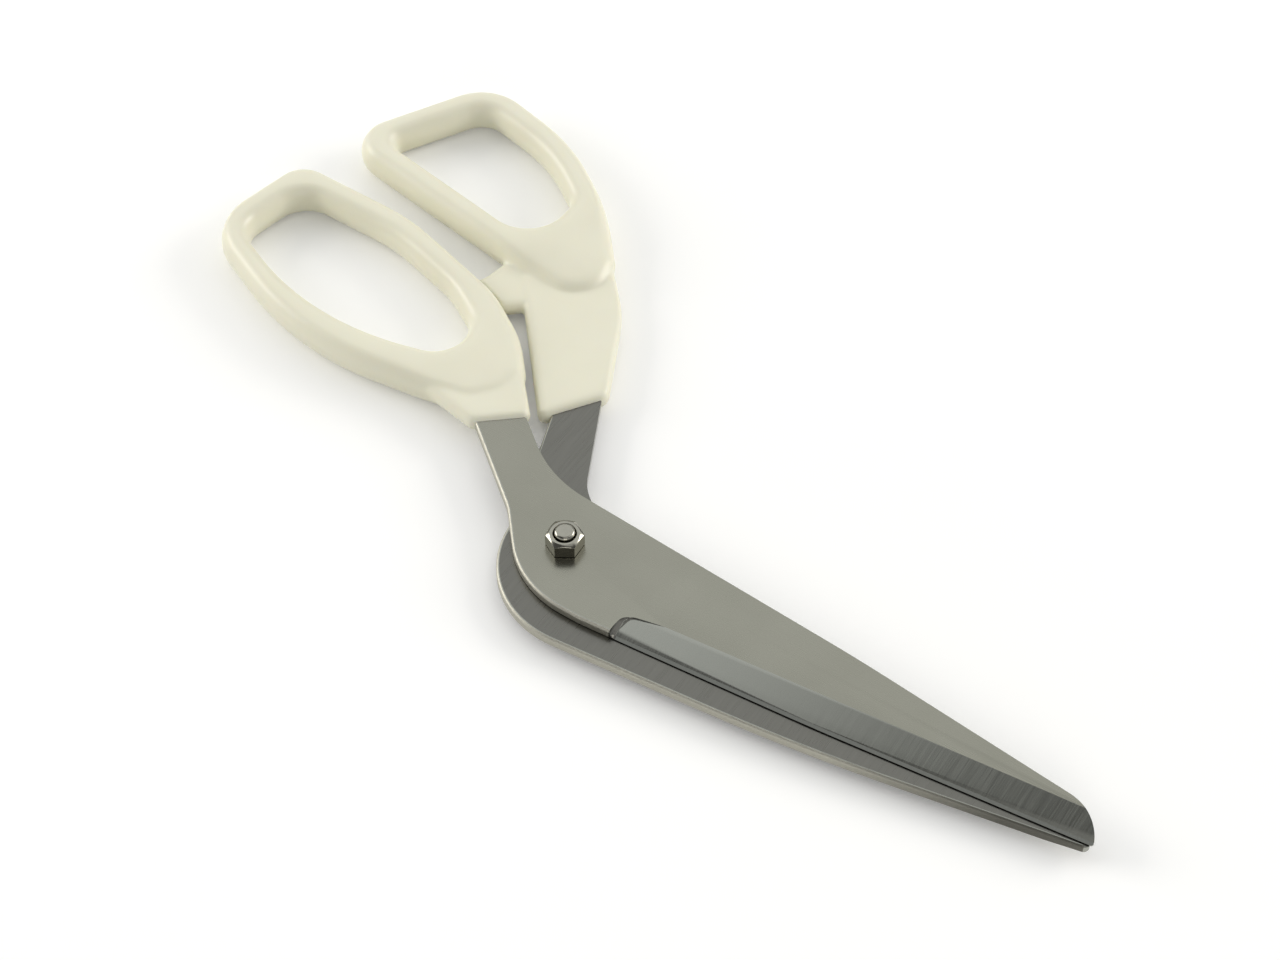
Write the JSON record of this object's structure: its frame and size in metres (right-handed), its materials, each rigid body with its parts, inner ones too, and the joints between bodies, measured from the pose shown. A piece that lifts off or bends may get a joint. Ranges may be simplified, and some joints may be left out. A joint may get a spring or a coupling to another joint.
{
  "type": "pizza scissors",
  "caption": "Pizza scissors with long stainless blades on a bolted pivot and moulded plastic loop handles cranked upwards, a large one for the fingers and a small one for the thumb.",
  "frame": {"origin": "on the pivot axis, at the underside of the bolt head, in the plane on which the closed scissors lie", "axes": "+X along the closed blades towards their blunt end, +Y towards the side the handles are cranked to, +Z along the bolt towards the nut"},
  "size_m": [0.3385, 0.1687, 0.0154],
  "materials": {
    "satin_steel": "satin, finely ground across the bevels",
    "ivory_plastic": "smooth moulded, satin gloss",
    "bright_steel": "bright plated"
  },
  "bodies": {
    "rear_half": {"rear_blade": "satin_steel", "thumb_handle": "ivory_plastic", "pivot_bolt": "bright_steel", "spring_washer": "bright_steel", "pivot_nut": "bright_steel"},
    "front_half": {"front_blade": "satin_steel", "finger_handle": "ivory_plastic"}
  },
  "joints": [
    {"name": "pivot", "type": "hinge", "parent": "rear_half", "child": "front_half", "pos_m": [0, 0, 0.0061], "axis": [0, 0, 1], "range_deg": [0, 80]}
  ]
}
